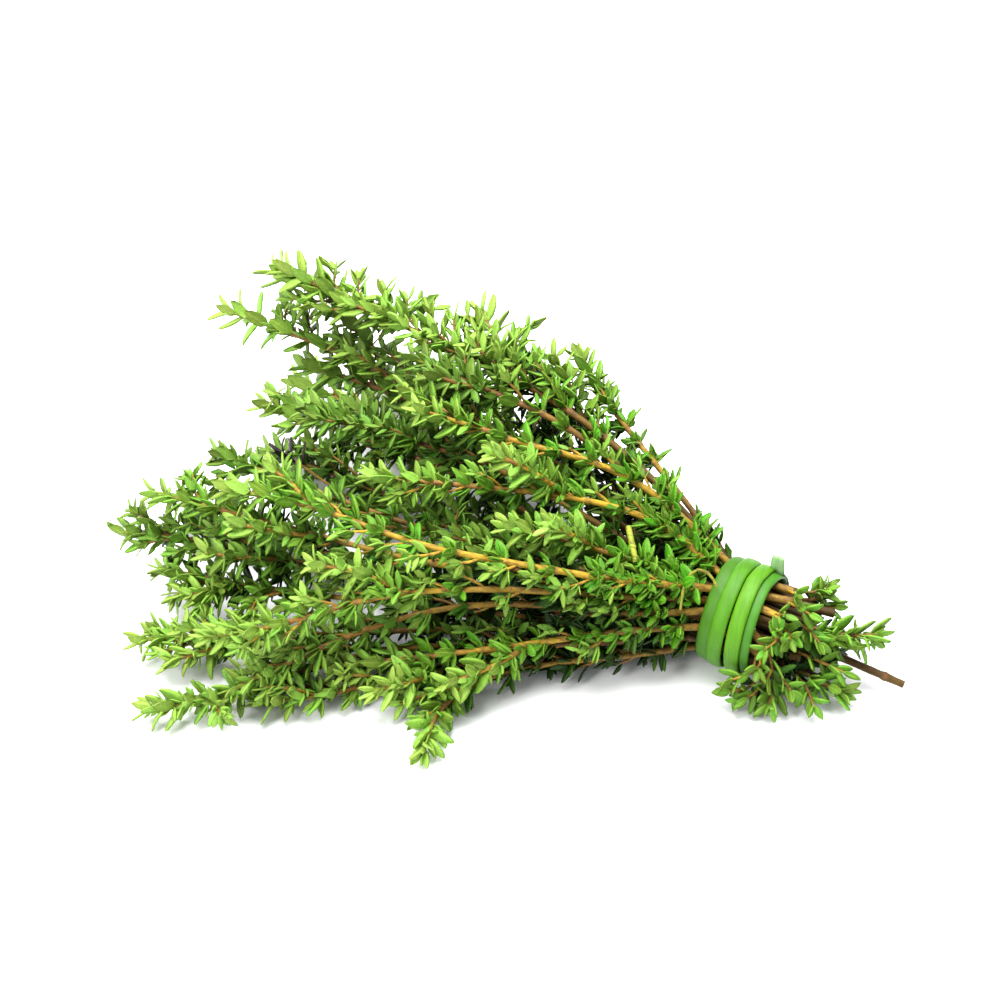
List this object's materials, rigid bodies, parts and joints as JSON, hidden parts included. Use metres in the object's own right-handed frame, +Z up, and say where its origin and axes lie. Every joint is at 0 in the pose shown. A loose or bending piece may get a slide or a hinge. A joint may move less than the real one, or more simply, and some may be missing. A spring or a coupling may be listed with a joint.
{
  "type": "thyme bundle",
  "caption": "Bunch of fresh thyme sprigs lying on its side: leafy woody stems fanning out from a soft green strap wound round them, cut ends past it.",
  "frame": {"origin": "on the table, at the flat spot of the strap's underside that the bunch rests on", "axes": "+X along the bunch from the leaf tips to the cut ends, +Y across it towards the far side, +Z up"},
  "size_m": [0.1772, 0.1269, 0.05],
  "materials": {
    "thyme": "fresh green leaves with a pale midrib on golden brown woody stems, soft satin",
    "strap": "smooth bright green flat strap, satin, faintly streaked lengthwise"
  },
  "bodies": {
    "root": {"sprig_01": "thyme", "sprig_02": "thyme", "sprig_03": "thyme", "sprig_04": "thyme", "sprig_05": "thyme", "sprig_06": "thyme", "sprig_07": "thyme", "sprig_08": "thyme", "sprig_09": "thyme", "sprig_10": "thyme", "sprig_11": "thyme", "sprig_12": "thyme", "sprig_13": "thyme", "sprig_14": "thyme", "sprig_15": "thyme", "sprig_16": "thyme", "sprig_17": "thyme", "sprig_18": "thyme", "sprig_19": "thyme", "sprig_20": "thyme", "sprig_21": "thyme", "sprig_22": "thyme", "sprig_23": "thyme", "sprig_24": "thyme", "sprig_25": "thyme", "sprig_26": "thyme", "sprig_27": "thyme", "sprig_28": "thyme", "strap": "strap"}
  },
  "joints": []
}
